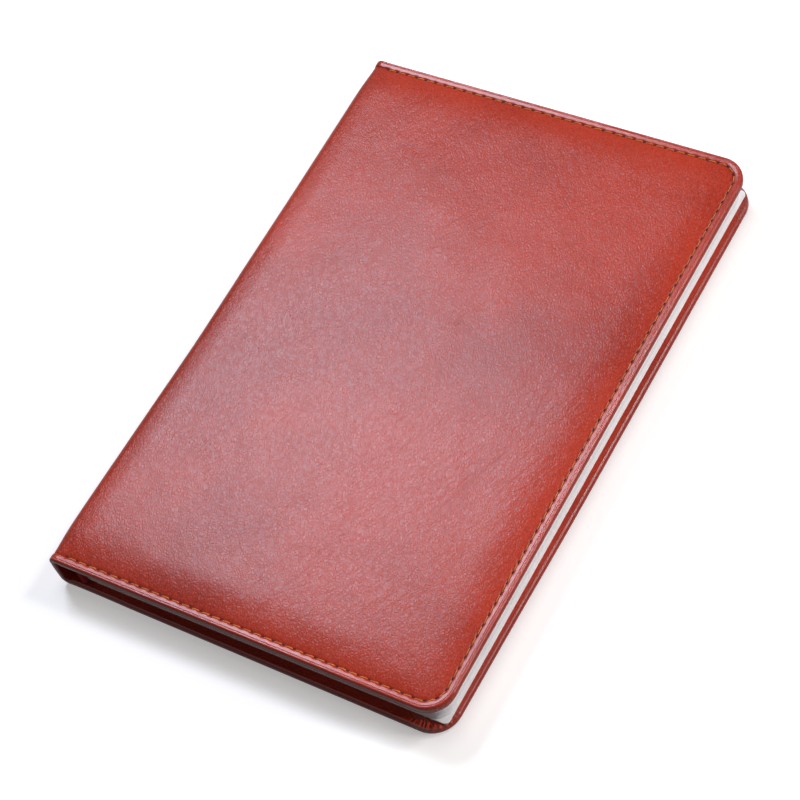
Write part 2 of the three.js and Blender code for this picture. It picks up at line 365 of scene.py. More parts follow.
def leather_material(name):
    """Glossy pebbled leather with soft creases, pulled in by the stitches, with painted shade in its
    folds, by the stitches and on the rim's side
    """
    look = bpy.context.scene.notebook_leather
    material, shader, place = new_material(name)
    rest = rest_place(place)
    pebble, fine, wrinkle, creased, folds = grain_marks(rest)
    near, loose, rim, ridge, pleated, gather, pull = seam_marks(place, rest)
    clouds = rest.noise(12.0, 3.0, 0.6).ease(0.3, 0.7)
    tone = clouds * 0.4 + fine.ease(0.36, 0.66) * 0.28 + pebble * 0.22 + 0.07
    # Painted shade: the tone darkens along the folds, in the stitch groove and on the rim's side;
    # clouds, fine grain and pebbles are the leather's own tone.
    tone = tone - folds * 0.06 - near * 0.12 - rim * 0.5 - (1 - pebble) * loose * 0.08
    relief = (pebble * 0.26 + fine * 0.28 + wrinkle * (creased * 0.8 + 0.5) - folds * 0.2) * loose
    soft = rest.noise(90.0).bump(0.5 * MM, 0.4)
    link(
        shader,
        Base_Color=tone.ease(-0.15, 1.0).mix(look.dark_colour, look.colour),
        Roughness=fine.ease(0.3, 0.7) * 0.06 + folds * 0.04 + loose * 0.06 + look.roughness,
        Normal=(relief - pull * 0.4 + gather * 1.2).bump(0.11 * MM, 1.0, soft),
        Coat_Weight=(ridge + pleated) * 0.45 + 0.05,
    )
    shader.inputs["Specular IOR Level"].default_value = 0.2
    shader.inputs["Coat IOR"].default_value = 1.7
    shader.inputs["Coat Roughness"].default_value = 0.18
    return material


def thread_material(name):
    look = bpy.context.scene.notebook_seam
    material, shader, place = new_material(name)
    twist = uv_place(place, "twist")
    strands = (twist.axis(0) * 12.6 + twist.axis(1) * 38.0).sine()
    worn = place.noise(900.0)
    light = strands.ease(-1.0, 1.0) * 0.55 + worn.ease(0.3, 0.7) * 0.45
    dark = [c * 0.5 for c in look.colour]
    link(
        shader, Base_Color=light.mix(dark, look.colour),
        Roughness=light.ease(0.0, 1.0, 0.7, 0.45), Normal=strands.bump(0.05 * MM, 0.7),
    )
    return material


def speckled_material(name, dark, light, scale, rows=0.0):
    """Board, foam, kraft paper, gauze, woven band or the painted shade inside a hole"""
    material, shader, place = new_material(name)
    value = place.noise(scale, 4.0, 0.65).ease(0.3, 0.7)
    if rows:
        weft = (place.axis(2) * rows).sine().ease(-0.6, 0.6)
        value = value * 0.35 + weft * 0.65
    link(
        shader, Base_Color=value.mix(dark, light), Roughness=value.ease(0.0, 1.0, 0.8, 0.95),
        Normal=value.bump(0.12 * MM, 0.6),
    )
    return material


def paper_material(name, shade=1.0):
    """Uncoated paper, whose separate sheets show on the cut edges as painted shade in the gaps between
    sheets and between bunches of them
    """
    look = bpy.context.scene.notebook_paper
    material, shader, place = new_material(name)
    rest = rest_place(place)
    fibre = rest.noise(2600.0, 4.0, 0.6)
    cloud = rest.noise(60.0)
    waver = rest.stretch(1.0, 1.0, 0.02).noise(60.0, 3.0) * 2.4
    level = rest.axis(2) * (1 / look.sheet) + waver
    # gap and bunch darken the cut edges: painted shade between the sheets and between bunches of them
    gap = (level.part() - 0.5).size().ease(0.25, 0.5)
    bunch = (rest.axis(2) * 900.0 + waver).sine().ease(0.3, 1.0)
    side = uv_place(place, "cut_edge").axis(0)
    mark = (gap * 0.6 + bunch * 0.3) * side
    # dull is the colour of that painted shade, and of the paper's darker clouds and fibres
    dull = [c * 0.55 * shade for c in look.colour]
    bright = [min(c * shade, 1.0) for c in look.colour]
    tone = mark + cloud.ease(0.3, 0.7) * 0.08 + fibre.ease(0.3, 0.7) * 0.06
    relief = fibre * 0.2 - mark
    link(
        shader, Base_Color=tone.mix(bright, dull), Roughness=fibre.ease(0.2, 0.8, 0.82, 0.95),
        Normal=relief.bump(0.05 * MM, 0.6),
    )
    return material


def material_of(name, make, *values):
    """The material of this name, made once"""
    return bpy.data.materials.get(name) or make(name, *values)


def leather():
    return material_of("red_brown_leather", leather_material)


def deselect_all():
    bpy.ops.object.select_all(action="DESELECT")


def make_active(obj):
    deselect_all()
    obj.select_set(True)
    bpy.context.view_layer.objects.active = obj


def dress_node(node, material):
    """Gives a CAD node that stays its procedural material"""
    for slot in bpy.data.objects[node].material_slots:
        slot.material = material


def settle(obj, name, material, angle=40):
    """Names a finished piece, shades it and keeps its place at rest in an attribute"""
    make_active(obj)
    bpy.ops.object.transform_apply(location=True, rotation=True, scale=True)
    bpy.ops.object.shade_smooth_by_angle(angle=math.radians(angle))
    obj.name = name
    obj.data.name = name
    obj.data.materials.clear()
    obj.data.materials.append(material)
    layer = obj.data.attributes.new(REST, "FLOAT_VECTOR", "POINT")
    layer.data.foreach_set("vector", [c for v in obj.data.vertices for c in v.co])
    return obj


def fresh_uv_map(obj, name):
    """A UV map in place of those that a primitive brings"""
    for layer in list(obj.data.uv_layers):
        obj.data.uv_layers.remove(layer)
    return obj.data.uv_layers.new(name=name)


def cut_across(places, normal):
    """Cuts the mesh in edit mode by a plane through each place"""
    for place in places:
        bpy.ops.mesh.select_all(action="SELECT")
        bpy.ops.mesh.bisect(plane_co=place, plane_no=normal)


def tidy_mesh(obj):
    """Merges what touches, fills what is open and turns all faces outwards"""
    make_active(obj)
    bpy.ops.object.mode_set(mode="EDIT")
    bpy.ops.mesh.select_all(action="SELECT")
    bpy.ops.mesh.remove_doubles(threshold=1e-6)
    bpy.ops.mesh.select_all(action="DESELECT")
    bpy.ops.mesh.select_non_manifold(extend=False)
    bpy.ops.mesh.fill_holes(sides=0)
    bpy.ops.mesh.select_all(action="SELECT")
    bpy.ops.mesh.normals_make_consistent(inside=False)
    bpy.ops.object.mode_set(mode="OBJECT")


def smooth_step(value, low=0.0, high=1.0):
    share = min(max((value - low) / (high - low), 0.0), 1.0)
    return share * share * (3 - 2 * share)


def between(a, b, share):
    return a + (b - a) * share


def crown_height(inset):
    """Height of the padded face above the cover's inner face"""
    if inset >= STITCH_INSET:
        share = min((inset - STITCH_INSET) / CROWN_RUN, 1.0) ** CROWN_POWER
        return STITCH_TOP + (COVER_T - STITCH_TOP) * math.sin(share * math.pi / 2)
    out = STITCH_INSET - inset
    step = smooth_step(out, 0.0, RIM_STEP_RUN)
    rise = between(min(out / RIM_RISE_RUN, 1.0), step, RIM_STEP_SHARE)
    crease = CREASE_DEPTH * math.exp(-(((inset - CREASE_INSET) / CREASE_WIDTH) ** 2))
    return STITCH_TOP + (RIM_TOP - STITCH_TOP) * rise - crease


# Rows of a cover's cross-section: insets in mm, angles in degrees, shares of the way to the middle
INNER_INSETS = (26, 12, 7, 4.9, 4.3, 3.6, 2.7)
RIM_ANGLES = (270, 257, 244, 231, 218, 205, 192, 180, 168, 156, 144, 133, 123, 113, 104)
OUTER_INSETS = (
    0.95, 1.0, 1.05, 1.11, 1.2, 1.35, 1.55, 1.75, 1.95, 2.15, 2.35, 2.55, 2.72, 2.9, 3.08, 3.28,
    3.5, 3.8, 4.2, 4.7, 5.4, 6.2, 7.2, 8.4, 9.8, 11.4, 13.2, 15.4, 18.2, 21.8, 26,
)
INNER_CENTRE = (1.0, 0.5)
OUTER_CENTRE = (0.05, 0.11, 0.17, 0.24, 0.31, 0.38, 0.45, 0.52, 0.60, 0.68, 0.76, 0.84, 0.92, 1.0)


def section_rows():
    """The rows of a cover's cross-section, from the middle of the inner face to the outer one's.

    Each row is its part, its inset or angle, and its share of the way to the centre line.
    """
    rows = [("inner", PLATEAU, share) for share in INNER_CENTRE]
    rows += [("inner", inset * MM, 0.0) for inset in INNER_INSETS]
    rows += [("rim", math.radians(angle), 0.0) for angle in RIM_ANGLES]
    rows += [("outer", inset * MM, 0.0) for inset in OUTER_INSETS]
    rows += [("outer", PLATEAU, share) for share in OUTER_CENTRE]
    return rows


def is_inner(row):
    """Whether a row lies below the rim's outermost line"""
    return row[0] == "inner" or (row[0] == "rim" and row[1] > math.pi)


def row_shape(row, relief, roll, board):
    """Inset and depth of a row: relief, roll and board fade from the cover to the spine"""
    part, value, _ = row
    rim_depth = (COVER_T - RIM_TOP) * relief
    thick = between(SPINE_ROLL, RIM_TOP - RIM_FOOT, roll)
    if part == "rim":
        radius = thick / 2
        ways = math.cos(value), math.sin(value)
        across, up = (math.copysign(abs(way) ** RIM_POWER, way) for way in ways)
        return radius * (1 + across), rim_depth + radius * (1 - up)
    if part == "outer":
        return value, (COVER_T - crown_height(value)) * relief
    if value <= HEM:
        return value, rim_depth + thick
    return value, between(between(SPINE_T, JOINT_T, roll), COVER_T - RIM_FOOT, board)


def corner_bend(inset):
    return CORNER_R - min(inset, STITCH_INSET) + max(inset - STITCH_INSET, 0) * CORNER_GROWTH


def seam_lengths():
    """Length along the stitches of one side, one corner and the fore-edge"""
    bend = corner_bend(STITCH_INSET)
    side = FORE_X - STITCH_INSET - bend - SEAM_X
    return side, bend * math.pi / 2, 2 * (HEAD_Y - STITCH_INSET - bend)


def seam_total():
    side, arc, fore = seam_lengths()
    return 2 * (side + arc) + fore


def stitch_count():
    return int(seam_total() / bpy.context.scene.notebook_seam.pitch)


def first_hole():
    """Distance along the seam to the first hole, so that both ends match"""
    return (seam_total() - stitch_count() * bpy.context.scene.notebook_seam.pitch) / 2


def edge_point(along, inset):
    """A point of the cover's face, by its distance along the stitches and from the edge"""
    side, arc, fore = seam_lengths()
    bend = corner_bend(inset)
    x, y = FORE_X - inset - bend, HEAD_Y - inset - bend
    half = seam_total() / 2
    sign = -1 if along < half else 1
    rest = along if along < half else 2 * half - along
    if rest <= side:
        return Vector((between(SEAM_X, x, rest / side), sign * (y + bend), 0.0))
    if rest <= side + arc:
        angle = (1 - (rest - side) / arc) * math.pi / 2
        return Vector((x + bend * math.cos(angle), sign * (y + bend * math.sin(angle)), 0.0))
    return Vector((x + bend, sign * y * (1 - (rest - side - arc) / (fore / 2)), 0.0))


def spine_curve(run):
    """Outer face and inward direction of the spine's lower half, from the joint seam upwards"""
    flat = SEAM_X - SPINE_X - SPINE_R
    arc = SPINE_R * math.pi / 2
    if run <= flat:
        return Vector((SEAM_X - run, 0.0, 0.0)), Vector((0.0, 0.0, 1.0))
    if run <= flat + arc:
        angle = math.pi / 2 * (run - flat) / arc
        inward = Vector((math.sin(angle), 0.0, math.cos(angle)))
        return Vector((SPINE_X + SPINE_R, 0.0, SPINE_R)) - inward * SPINE_R, inward
    return Vector((SPINE_X, 0.0, SPINE_R + run - flat - arc)), Vector((1.0, 0.0, 0.0))


SPINE_RUN = SEAM_X - SPINE_X - SPINE_R + SPINE_R * math.pi / 2 + TOP_Z / 2 - SPINE_R
SPINE_COLUMNS = 17
COLUMNS_PER_STITCH = 6


def spine_fades(run):
    """How much of the cover's relief and of its rolled rim is left on the spine"""
    return 1 - smooth_step(run, 0, SPINE_RUN), 1 - smooth_step(run, 0, SPINE_ROLL_RUN)


def softness(x, y, inset):
    """Small soft unevenness of the padding"""
    depth = bpy.context.scene.notebook_leather.softness
    slow = noise.noise(Vector((x * SLOW_WAVES, y * SLOW_WAVES, 3.0)))
    quick = noise.noise(Vector((x * QUICK_WAVES, y * QUICK_WAVES, 9.0))) * 0.3
    inner = 0.2 + 0.8 * smooth_step(inset, STITCH_INSET, STITCH_INSET + 7 * MM)
    return depth * (slow + quick) * inner


def spine_fall(x, inset):
    """How far the padding has dropped towards the spine"""
    share = max(0.0, 1 - (x - SPINE_X) / SPINE_FALL_RUN)
    return SPINE_FALL * share ** 2 * smooth_step(inset, 1.5 * MM, 6 * MM)


def bow_out(place):
    """Moves a place on the leather outwards where the spine is bowed, towards the tail"""
    near_spine = 1 - smooth_step(place.x - SPINE_X, *BOW_ACROSS)
    place.x -= SPINE_BOW * smooth_step(-place.y, *BOW_ALONG) * near_spine


def twist_back(obj):
    """Turns the back cover's tail end a little, as it lies in the photograph"""
    for vertex in obj.data.vertices:
        reach = vertex.co.x - SPINE_X
        near_tail = smooth_step(-vertex.co.y, *TWIST_ALONG)
        turn = BACK_TWIST * smooth_step(reach, *TWIST_ACROSS) * near_tail
        vertex.co.x += turn * vertex.co.y
        vertex.co.y -= turn * reach


def stitch_pull(along, inset):
    """How far a stitch pulls the leather in at its hole"""
    pitch = bpy.context.scene.notebook_seam.pitch
    phase = ((along - first_hole()) / pitch) % 1.0
    to_hole = min(phase, 1 - phase) * pitch
    across = math.exp(-(((inset - STITCH_INSET) / PULL_ACROSS) ** 2))
    return STITCH_PULL * across * math.exp(-((to_hole / PULL_ALONG) ** 2))


def tail_roll(place, inset, row):
    """Extra thickness along the tail of the rim's inner half, which runs from 1 to 1.5 half turns"""
    half_turns = 1.5 if row[0] == "inner" else row[1] / math.pi
    on_rim = smooth_step(half_turns, 1.0, 1.45) * (1 - smooth_step(inset, *ROLL_HEM))
    off_joint = smooth_step(place.x - SPINE_X, *ROLL_ACROSS)
    return TAIL_ROLL * smooth_step(-place.y, *ROLL_ALONG) * on_rim * off_joint


def pleats(along, inset):
    """Folds of the turned-in leather at a corner, below the edge"""
    side, arc, _ = seam_lengths()
    share = (min(along, seam_total() - along) - side) / arc
    if not 0 <= share <= 1:
        return 0.0
    fade = math.sin(share * math.pi) ** 0.5 * smooth_step(inset, 0.4 * MM, 1.4 * MM)
    return PLEAT_DEPTH * fade * abs(math.sin(share * PLEAT_COUNT * math.pi + math.sin(share * 9) * 0.6))


def cover_vertex(along, row, centre_x, thicker):
    """A point of a cover that lies on its face, and its distance from the edge"""
    part, _, share = row
    inset, _ = row_shape(row, 1, 1, 1)
    place = edge_point(along, inset)
    board = smooth_step(place.x - SPINE_X, *BOARD_START)
    inset, depth = row_shape(row, 1, 1, board)
    if share:
        place = place.lerp(Vector((min(place.x, centre_x), 0.0, 0.0)), share)
    if part == "outer":
        depth += stitch_pull(along, inset)
        depth += softness(place.x, place.y, between(inset, HEAD_Y, share))
        depth += spine_fall(place.x, between(inset, HEAD_Y, share))
    if is_inner(row):
        if inset < 4 * MM:
            depth -= pleats(along, inset) * board
        depth += tail_roll(place, inset, row) * thicker
    place.z = depth
    bow_out(place)
    return place, inset


def signed_inset(row, inset):
    """Distance from the edge, negative on the inner side"""
    inset = between(inset, HEAD_Y, row[2])
    return -inset if is_inner(row) else inset


def shape_skin(name, table, alongs):
    """A grid primitive whose vertices are moved to a table of places, with the seam's UV map.

    Each entry of table[column][row] is a place and the signed distance from the edge.
    """
    columns, rows = len(table), len(table[0])
    deselect_all()
    bpy.ops.mesh.primitive_grid_add(x_subdivisions=columns - 1, y_subdivisions=rows - 1, size=1.0)
    obj = bpy.context.object
    obj.name = name
    uv = fresh_uv_map(obj, "seam")
    places = [table[column][row][0] for row in range(rows) for column in range(columns)]
    obj.data.vertices.foreach_set("co", [c for place in places for c in place])
    pitch = bpy.context.scene.notebook_seam.pitch
    for loop in obj.data.loops:
        row, column = divmod(loop.vertex_index, columns)
        along = (alongs[column] - first_hole()) / MM + pitch / MM / 2
        uv.data[loop.index].uv = (along, table[column][row][1] / MM)
    obj.data.update()
    tidy_mesh(obj)
    return obj


def cover_table(thicker):
    """The places of a whole cover; thicker is the share of extra rim it has along the tail"""
    rows = section_rows()
    columns = stitch_count() * COLUMNS_PER_STITCH + 1
    centre_x = FORE_X - PLATEAU - corner_bend(PLATEAU)
    alongs = [seam_total() * column / (columns - 1) for column in range(columns)]
    table = []
    for along in alongs:
        points = [cover_vertex(along, row, centre_x, thicker) for row in rows]
        line = [(place, signed_inset(row, inset)) for row, (place, inset) in zip(rows, points)]
        table.append(line)
    return table, alongs


def spine_line(run, side):
    """One line of the spine's skin, from the middle of its inner face to that of its outer face"""
    relief, roll = spine_fades(run)
    outer, inward = spine_curve(run)
    line = []
    for row in section_rows():
        inset, depth = row_shape(row, relief, roll, 0)
        share = row[2]
        y = (HEAD_Y - inset) * (1 - share)
        if row[0] == "outer":
            depth += stitch_pull(-run, inset) * smooth_step(2.2 * MM - run, 0, 1.5 * MM)
            depth += softness(SEAM_X - run, side * y, between(inset, HEAD_Y, share))
            depth += spine_fall(outer.x, between(inset, HEAD_Y, share)) * inward.z
        place = outer + inward * depth
        place.y = side * y
        bow_out(place)
        line.append((place, signed_inset(row, inset)))
    return line


def turned_over(table):
    """The same places for the front cover, above the block"""
    return [[(Vector((p.x, p.y, TOP_Z - p.z)), inset) for p, inset in line] for line in table]


def front_skin():
    table, alongs = cover_table(1.0)
    obj = shape_skin("front_cover_skin", turned_over(table), alongs)
    settle(obj, "front_cover_skin", leather(), 50)
    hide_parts("front_cover_leather", "front_joint_leather")
    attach(obj, "front_cover")


def back_skin():
    table, alongs = cover_table(0.0)
    runs = [SPINE_RUN * (1 - column / SPINE_COLUMNS) for column in range(SPINE_COLUMNS)]
    before = [spine_line(run, -1) for run in runs]
    after = [spine_line(run, 1) for run in reversed(runs)]
    alongs = [-run for run in runs] + alongs + [seam_total() + run for run in reversed(runs)]
    obj = shape_skin("back_cover_skin", before + table + after, alongs)
    twist_back(obj)
    settle(obj, "back_cover_skin", leather(), 50)
    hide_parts("back_cover_leather")
    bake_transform(obj)


def spine_skin():
    runs = [SPINE_RUN * column / SPINE_COLUMNS for column in range(SPINE_COLUMNS + 1)]
    table = [spine_line(run, -1) + spine_line(run, 1)[::-1] for run in runs]
    obj = shape_skin("spine_skin", turned_over(table), [-run for run in runs])
    settle(obj, "spine_skin", leather(), 50)
    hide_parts("spine_leather")
    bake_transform(obj)


FOLD_INSET = 0.3 * MM  # a page begins to bend this far from its fold
GUTTER_CUTS = 12
CORNER_STEPS = 6


def sheet_outline(inset, corner, start_x):
    """Outline of a sheet with two round fore corners"""
    x, y = FORE_X + PAGE_REACH - inset - corner, HEAD_Y - inset - corner
    outline = [(start_x, -y - corner)]
    for side, begin in ((-1, -90), (1, 0)):
        for step in range(CORNER_STEPS + 1):
            angle = math.radians(begin + 90 * step / CORNER_STEPS)
            outline.append((x + corner * math.cos(angle), side * y + corner * math.sin(angle)))
    outline.append((start_x, y + corner))
    return outline


def slab(outline, bottom, top, cuts_x):
    """A sheet or section: a circle primitive is given its outline, extruded and cut across"""
    deselect_all()
    bpy.ops.mesh.primitive_circle_add(vertices=len(outline), radius=1.0, fill_type="NGON")
    obj = bpy.context.object
    for vertex, (x, y) in zip(obj.data.vertices, outline):
        vertex.co = (x, y, bottom)
    bpy.ops.object.mode_set(mode="EDIT")
    bpy.ops.mesh.select_all(action="SELECT")
    bpy.ops.mesh.extrude_region_move(TRANSFORM_OT_translate={"value": (0, 0, top - bottom)})
    cut_across([(x, 0, 0) for x in cuts_x], (1, 0, 0))
    bpy.ops.mesh.select_all(action="SELECT")
    bpy.ops.mesh.normals_make_consistent(inside=False)
    bpy.ops.object.mode_set(mode="OBJECT")
    return obj


def mark_cut_edges(obj):
    """A UV map that is 1 on a sheet's cut edges and 0 on its faces"""
    uv = fresh_uv_map(obj, "cut_edge")
    for face in obj.data.polygons:
        value = 0.0 if abs(face.normal.z) > 0.7 else 1.0
        for loop in face.loop_indices:
            uv.data[loop].uv = (value, 0.0)


def page_piece(node, corner, bends_on=None):
    """A section or an endpaper; one that turns bends near its fold"""
    gutter = bpy.context.scene.notebook_paper.gutter
    low, high = (Vector(c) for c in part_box(node))
    start = low.x + FOLD_INSET
    cuts = range(GUTTER_CUTS + 1) if bends_on else ()
    cuts_x = [start + gutter * cut / GUTTER_CUTS for cut in cuts]
    obj = slab(sheet_outline(FORE_X - high.x, corner, low.x), low.z, high.z, cuts_x)
    mark_cut_edges(obj)
    plain = "section" not in node
    name, shade = ("endpaper_stock", 1.06) if plain else ("page_stock", 1.0)
    material = material_of(name, paper_material, shade)
    settle(obj, node + "_sheets", material, 30)
    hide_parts(node)
    if bends_on:
        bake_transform(obj)
    return obj


def stitch_piece():
    """One stitch along X: a thread that comes out of one hole and goes into the next"""
    look = bpy.context.scene.notebook_seam
    half = (look.pitch - STITCH_GAP) / 2
    deselect_all()
    bpy.ops.mesh.primitive_cylinder_add(
        vertices=THREAD_SIDES, radius=look.thread / 2, depth=half * 2, rotation=(0, math.pi / 2, 0),
    )
    obj = bpy.context.object
    bpy.ops.object.transform_apply(rotation=True)
    bpy.ops.object.mode_set(mode="EDIT")
    cuts_x = [half * (2 * cut / THREAD_PARTS - 1) for cut in range(1, THREAD_PARTS)]
    cut_across([(x, 0, 0) for x in cuts_x], (1, 0, 0))
    bpy.ops.object.mode_set(mode="OBJECT")
    uv = fresh_uv_map(obj, "twist")
    for loop in obj.data.loops:
        place = obj.data.vertices[loop.vertex_index].co
        uv.data[loop.index].uv = (math.atan2(place.z, place.y) / (2 * math.pi), place.x / half / 2)
    for vertex in obj.data.vertices:
        share = vertex.co.x / half
        vertex.co.z -= STITCH_DIP * share ** 4
        vertex.co.y += STITCH_SLANT * share
    return obj


def hole_piece():
    """A dark dish at the mouth of one stitch hole, as painted shade"""
    deselect_all()
    bpy.ops.mesh.primitive_uv_sphere_add(segments=10, ring_count=5, radius=1.0)
    obj = bpy.context.object
    obj.scale = HOLE_SIZE
    obj.rotation_euler.z = HOLE_TURN
    bpy.ops.object.transform_apply(rotation=True, scale=True)
    return obj


def spread(pattern, places):
    """The pattern becomes one mesh with a copy of itself at each place"""
    mesh = bmesh.new()
    for place in places:
        copy = pattern.data.copy()
        copy.transform(place)
        mesh.from_mesh(copy)
        bpy.data.meshes.remove(copy)
    mesh.to_mesh(pattern.data)
    mesh.free()
    return pattern


def seam_places(at_holes, front, lift):
    """Matrices of all holes, or of all stitches between them, of one cover"""
    pitch = bpy.context.scene.notebook_seam.pitch
    up = Vector((0, 0, 1 if front else -1))
    count = stitch_count() + 1 if at_holes else stitch_count()
    places = []
    for step in range(count):
        along = first_hole() + pitch * (step + (0 if at_holes else 0.5))
        middle = edge_point(along, STITCH_INSET)
        ahead = edge_point(min(along + 0.2 * MM, seam_total()), STITCH_INSET)
        behind = edge_point(max(along - 0.2 * MM, 0), STITCH_INSET)
        direction = (ahead - behind).normalized()
        depth = COVER_T - STITCH_TOP - lift
        middle.z = TOP_Z - depth if front else depth
        bow_out(middle)
        turn = Matrix((direction, up.cross(direction), up)).transposed().to_4x4()
        places.append(Matrix.Translation(middle) @ turn)
    return places


def stitches(front):
    side = "front" if front else "back"
    thread = bpy.context.scene.notebook_seam.thread
    seam = spread(stitch_piece(), seam_places(False, front, thread * 0.5))
    settle(seam, side + "_stitches", material_of("waxed_thread", thread_material), 60)
    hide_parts(side + "_seam_thread")
    # The holes' dark dishes are painted shade of the open holes
    holes = spread(hole_piece(), seam_places(True, front, HOLE_LIFT))
    dark = material_of(
        "stitch_hole_shade", speckled_material, (0.006, 0.002, 0.001), (0.022, 0.005, 0.003), 1500.0,
    )
    settle(holes, side + "_stitch_holes", dark, 60)
    for obj in (seam, holes):
        if not front:
            twist_back(obj)
        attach(obj, side + "_cover")


# Rows of a foam pad's cross-section: insets in mm, and shares of the way to the middle
FOAM_BASE_CENTRE = (1.0, 0.5)
FOAM_BASE = (26, 8, 4.2)
FOAM_TOP = (4.2, 5.2, 6.5, 8.5, 11, 14, 18, 26)
FOAM_TOP_CENTRE = (0.3, 0.65, 1.0)
FOAM_COLUMNS = 120
FOAM_DEPTH = 0.85 * MM  # of the foam's face below the leather's


def foam_pad(side):
    """The foam under the crown, made as the leather is but thinner"""
    node = side + "_foam_pad"
    low, high = (Vector(c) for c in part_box(node))
    floor = FOAM_DEPTH + high.z - low.z
    rows = [("base", PLATEAU, share) for share in FOAM_BASE_CENTRE]
    rows += [("base", inset * MM, 0.0) for inset in FOAM_BASE]
    rows += [("top", inset * MM, 0.0) for inset in FOAM_TOP]
    rows += [("top", PLATEAU, share) for share in FOAM_TOP_CENTRE]
    alongs = [seam_total() * column / FOAM_COLUMNS for column in range(FOAM_COLUMNS + 1)]
    table = []
    for along in alongs:
        line = []
        for part, inset, share in rows:
            place = edge_point(along, inset)
            place.x = max(place.x, low.x)
            place = place.lerp(Vector((min(place.x, 0.0), 0.0, 0.0)), share)
            top = COVER_T - crown_height(inset) + FOAM_DEPTH
            place.z = min(top, floor - 0.06 * MM) if part == "top" else floor
            line.append((place, inset))
        table.append(line)
    obj = shape_skin(node + "_cushion", turned_over(table) if side == "front" else table, alongs)
    foam = material_of("foam", speckled_material, (0.55, 0.50, 0.40), (0.80, 0.76, 0.66), 2500.0)
    settle(obj, node + "_cushion", foam, 50)
    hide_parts(node)
    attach(obj, side + "_cover")


def spine_lining(kind, material):
    """Gauze or paper over the folds of the sections, in one piece from back to front"""
    low = Vector(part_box("rear_spine_" + kind)[0])
    high = Vector(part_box("front_spine_" + kind)[1])
    deselect_all()
    bpy.ops.mesh.primitive_cube_add(size=1, location=(low + high) / 2, scale=high - low)
    obj = bpy.context.object
    bpy.ops.object.mode_set(mode="EDIT")
    bpy.ops.mesh.bevel(offset=0.12 * MM, segments=2)
    bpy.ops.object.mode_set(mode="OBJECT")
    settle(obj, "spine_" + kind + "_strip", material)
    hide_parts("rear_spine_" + kind, "front_spine_" + kind)
    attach(obj, "back_cover")


BAND_SIDES = 16
BAND_CUTS = 40
BEAD_SIZES = (0.97, 0.86)  # of the band's radius, at one cut and the next
BEAD_END = 0.75  # share of that size at the ends


def end_band(end):
    """A woven band at one end of the block, beaded where its threads wrap the core"""
    low = Vector(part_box("rear_" + end)[0])
    high = Vector(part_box("front_" + end)[1])
    centre = (low + high) / 2
    length = high.z - low.z
    deselect_all()
    bpy.ops.mesh.primitive_cylinder_add(
        vertices=BAND_SIDES, radius=(high.x - low.x) / 2, depth=length, location=centre,
    )
    obj = bpy.context.object
    bpy.ops.object.transform_apply(location=True)
    bpy.ops.object.mode_set(mode="EDIT")
    cut_across([(0, 0, low.z + length * cut / BAND_CUTS) for cut in range(1, BAND_CUTS)], (0, 0, 1))
    bpy.ops.object.mode_set(mode="OBJECT")
    for vertex in obj.data.vertices:
        step = round((vertex.co.z - low.z) / length * BAND_CUTS)
        to_end = min(vertex.co.z - low.z, high.z - vertex.co.z)
        size = BEAD_SIZES[step % 2] * between(BEAD_END, 1.0, smooth_step(to_end, 0, 0.5 * MM))
        vertex.co.x = between(centre.x, vertex.co.x, size)
        vertex.co.y = between(centre.y, vertex.co.y, size)
    rows = 2 * math.pi / (length / BAND_CUTS * 2)
    woven = material_of(
        "woven_band", speckled_material, (0.10, 0.006, 0.008), (0.46, 0.02, 0.03), 4000.0, rows,
    )
    settle(obj, end + "_beads", woven, 60)
    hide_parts("rear_" + end, "front_" + end)
    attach(obj, "back_cover")


# The camera, as measured in the photograph
VIEW_AZIMUTH = math.radians(49.0)
VIEW_HEIGHT = math.radians(53.96)
VIEW_ROLL = math.radians(23.76)
VIEW_PLACE = Vector((380.6, -339.8, 698.5)) * MM
LENS_MM = 119.46
SENSOR_MM = 36

# Name, place, size, watts, colour and whether reflections show it, for each lamp
WHITE = (1.0, 1.0, 1.0)
COOL = (0.88, 1.0, 1.18)
LAMPS = (
    ("back_softbox", (-0.645, 0.455, 1.09), (0.35, 0.30), 8.6, COOL, True),
    ("rim_softbox", (0.72, 0.6, 1.15), (0.22, 0.22), 5.2, WHITE, True),
    ("top_softbox", (-0.05, 0.3, 1.45), (0.6, 0.6), 4.2, WHITE, False),
    ("fore_softbox", (1.2, 0.45, 0.35), (0.5, 0.5), 13.0, WHITE, True),
)

# The floor and the room: what the camera sees, and the dimmer light that they give
FLOOR_WIDTH = 6.0
FLOOR_TINTS = ((0.82, 0.78, 0.77), (0.84, 0.80, 0.785))
FLOOR_GLOW = ((0.36, 0.36, 0.36), WHITE)  # near the notebook and far from it
GLOW_REACH = (0.3, 1.5)
FLOOR_LIGHT = (0.22, 0.22, 0.22, 1)
WALL = {"Color": (1, 1, 1, 1), "Strength": 1.0}
ROOM_LIGHT = {"Color": (1, 1, 1, 1), "Strength": 0.11}
MIRRORED_SHARE = 0.45


def add_camera():
    bpy.ops.object.camera_add(location=VIEW_PLACE)
    camera = bpy.context.object
    camera.name = "photo_camera"
    back = Vector((
        math.sin(VIEW_AZIMUTH) * math.cos(VIEW_HEIGHT),
        -math.cos(VIEW_AZIMUTH) * math.cos(VIEW_HEIGHT),
        math.sin(VIEW_HEIGHT),
    ))
    right = Vector((0, 0, 1)).cross(back).normalized()
    up = back.cross(right)
    across = right * math.cos(VIEW_ROLL) - up * math.sin(VIEW_ROLL)
    upright = up * math.cos(VIEW_ROLL) + right * math.sin(VIEW_ROLL)
    camera.rotation_euler = Matrix((across, upright, back)).transposed().to_euler()
    camera.data.sensor_width = SENSOR_MM
    camera.data.lens = LENS_MM
    camera.data.clip_start = 0.01
    bpy.context.scene.camera = camera


